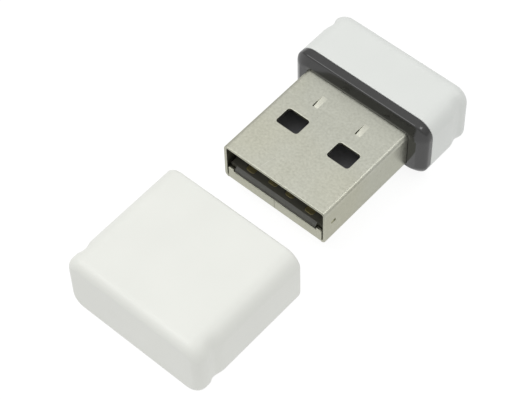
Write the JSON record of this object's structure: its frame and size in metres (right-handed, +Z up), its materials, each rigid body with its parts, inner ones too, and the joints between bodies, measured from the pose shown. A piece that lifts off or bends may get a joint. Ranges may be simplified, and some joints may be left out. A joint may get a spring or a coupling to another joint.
{
  "type": "usb wifi adapter",
  "caption": "Tiny plug-in radio adapter: flat metal plug with two windows, dark ring, rounded white rear housing and a matching pull-off cap.",
  "frame": {"origin": "middle of the adapter and its pulled-off cap in plan, on the surface they lie on", "axes": "+Y along the plug's axis from the cap and the plug's mouth to the adapter's rear end, +Z up from the surface, +X to the right when looking along +Y"},
  "size_m": [0.0156, 0.0372, 0.007],
  "materials": {
    "white_plastic": "satin moulded white",
    "black_gloss_plastic": "gloss",
    "plated_steel": "satin nickel plating with fine grain",
    "black_solder_mask": "satin",
    "black_holder_plastic": "matte",
    "gold_plating": "satin gold plating",
    "black_resin": "matte",
    "crystal_can": "satin",
    "capacitor_ceramic": "satin",
    "antenna_ceramic": "satin",
    "ferrite": "matte",
    "clear_resin": "clear"
  },
  "bodies": {
    "adapter": {"plug_shell": "plated_steel", "circuit_board": "black_solder_mask", "contact_power": "gold_plating", "contact_data_minus": "gold_plating", "contact_data_plus": "gold_plating", "contact_ground": "gold_plating", "wifi_chip": "black_resin", "crystal": "crystal_can", "crystal_capacitor_left": "capacitor_ceramic", "crystal_capacitor_right": "capacitor_ceramic", "power_inductor": "ferrite", "input_capacitor": "capacitor_ceramic", "core_capacitor": "capacitor_ceramic", "reference_resistor": "black_resin", "led_resistor": "black_resin", "activity_led": "clear_resin", "antenna_matching_capacitor": "capacitor_ceramic", "antenna_matching_inductor": "ferrite", "chip_antenna": "antenna_ceramic", "board_holder": "black_holder_plastic", "collar": "black_gloss_plastic", "rear_housing": "white_plastic"},
    "cap": {"cap": "white_plastic"}
  },
  "joints": [
    {"name": "cap_slide", "type": "slide", "parent": "adapter", "child": "cap", "axis": [0, 1, 0], "range_m": [0, 0.0168]}
  ]
}
